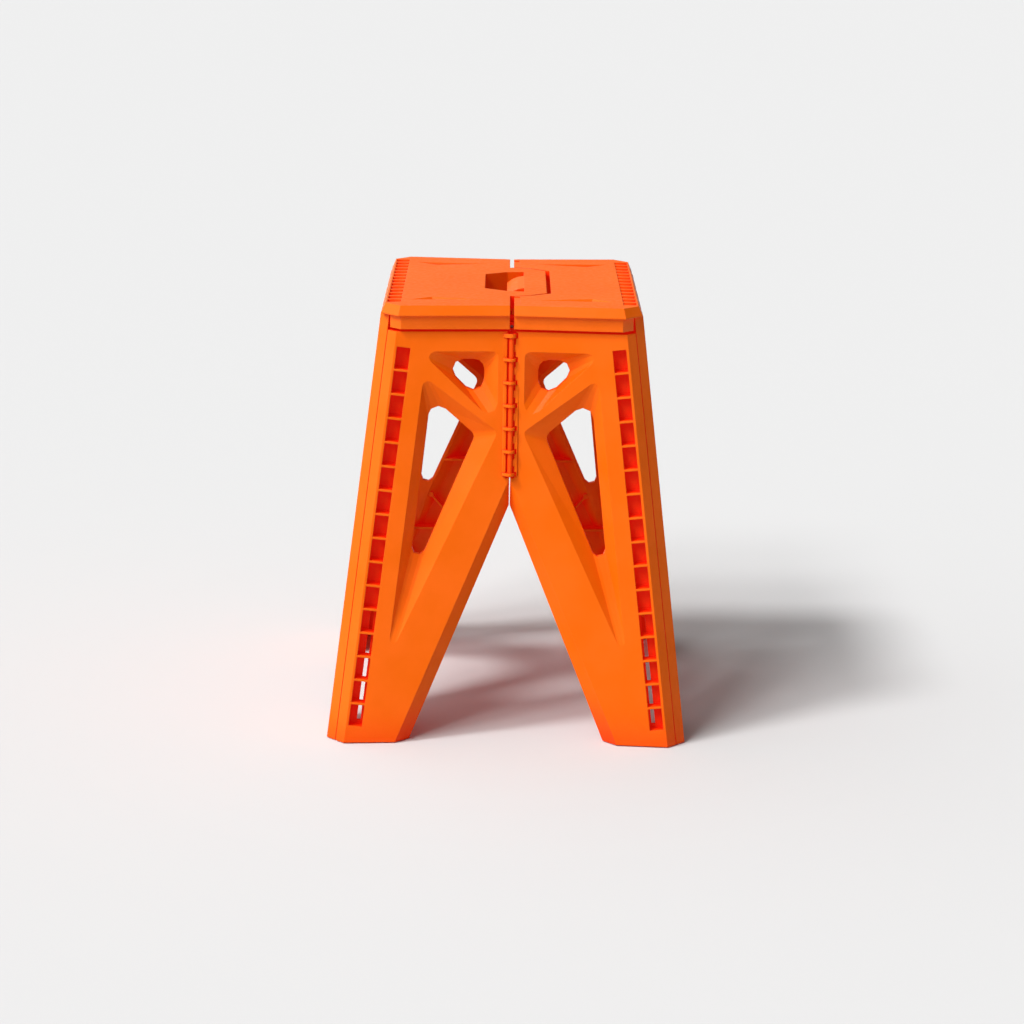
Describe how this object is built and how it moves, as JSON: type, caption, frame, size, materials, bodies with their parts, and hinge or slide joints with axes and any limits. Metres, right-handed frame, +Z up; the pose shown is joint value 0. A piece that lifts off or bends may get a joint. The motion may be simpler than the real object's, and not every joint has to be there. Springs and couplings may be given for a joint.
{
  "type": "folding step stool",
  "caption": "Folding step stool: splayed ribbed wall panels hinged at corners and centres, with a two-part seat whose middle grip lifts to fold it flat.",
  "frame": {"origin": "on the floor under the middle of the seat", "axes": "+Z up, +X to the right half of the seat, -Y to the front"},
  "size_m": [0.3198, 0.3448, 0.388],
  "materials": {
    "panel_plastic": "moulded satin",
    "seat_plastic": "moulded satin",
    "hinge_pin_plastic": "moulded satin",
    "hinge_pin_steel": "drawn wire",
    "foot_rubber": "matte"
  },
  "bodies": {
    "end_left": {"end_panel_left": "panel_plastic", "pad_end_left_front": "foot_rubber", "pad_end_left_rear": "foot_rubber", "corner_pin_front_left": "hinge_pin_steel", "corner_pin_rear_left": "hinge_pin_steel", "seat_pin_left": "hinge_pin_steel"},
    "front_left": {"front_panel_left": "panel_plastic", "pad_front_left": "foot_rubber"},
    "front_right": {"front_panel_right": "panel_plastic", "front_centre_pin": "hinge_pin_plastic", "pad_front_right": "foot_rubber"},
    "end_right": {"end_panel_right": "panel_plastic", "pad_end_right_front": "foot_rubber", "pad_end_right_rear": "foot_rubber", "corner_pin_front_right": "hinge_pin_steel", "corner_pin_rear_right": "hinge_pin_steel", "seat_pin_right": "hinge_pin_steel"},
    "rear_left": {"rear_panel_left": "panel_plastic", "rear_centre_pin": "hinge_pin_plastic", "pad_rear_left": "foot_rubber"},
    "rear_right": {"rear_panel_right": "panel_plastic", "pad_rear_right": "foot_rubber"},
    "seat_left": {"seat_half_left": "seat_plastic", "top_pin_front": "hinge_pin_steel", "top_pin_rear": "hinge_pin_steel"},
    "seat_right": {"seat_half_right": "seat_plastic"}
  },
  "joints": [
    {"name": "front_left_corner", "type": "hinge", "parent": "end_left", "child": "front_left", "pos_m": [-0.1425, -0.155, 0], "axis": [0.1176, 0.1176, 0.9861], "range_deg": [0, 80]},
    {"name": "front_centre", "type": "hinge", "parent": "front_left", "child": "front_right", "pos_m": [0, -0.16886, 0], "axis": [0, 0.1297, 0.9915], "range_deg": [-159, 0]},
    {"name": "front_right_corner", "type": "hinge", "parent": "front_right", "child": "end_right", "pos_m": [0.1425, -0.155, 0], "axis": [-0.1176, 0.1176, 0.9861], "range_deg": [0, 80]},
    {"name": "rear_left_corner", "type": "hinge", "parent": "end_left", "child": "rear_left", "pos_m": [-0.1425, 0.155, 0], "axis": [0.1176, -0.1176, 0.9861], "range_deg": [-80, 0]},
    {"name": "rear_right_corner", "type": "hinge", "parent": "end_right", "child": "rear_right", "pos_m": [0.1425, 0.155, 0], "axis": [-0.1176, -0.1176, 0.9861], "range_deg": [0, 80]},
    {"name": "seat_left_hinge", "type": "hinge", "parent": "end_left", "child": "seat_left", "pos_m": [-0.11274, 0, 0.3762], "axis": [0, -1, 0], "range_deg": [0, 70]},
    {"name": "seat_right_hinge", "type": "hinge", "parent": "end_right", "child": "seat_right", "pos_m": [0.11274, 0, 0.3762], "axis": [0, 1, 0], "range_deg": [0, 70]}
  ],
  "couplings": [
    {"joint": "front_centre", "follows": "front_left_corner", "ratio": -1.9815},
    {"joint": "front_right_corner", "follows": "front_left_corner", "ratio": 1},
    {"joint": "rear_left_corner", "follows": "front_left_corner", "ratio": -1},
    {"joint": "rear_right_corner", "follows": "front_left_corner", "ratio": 1},
    {"joint": "seat_left_hinge", "follows": "front_left_corner", "ratio": 0.87},
    {"joint": "seat_right_hinge", "follows": "front_left_corner", "ratio": 0.87}
  ]
}
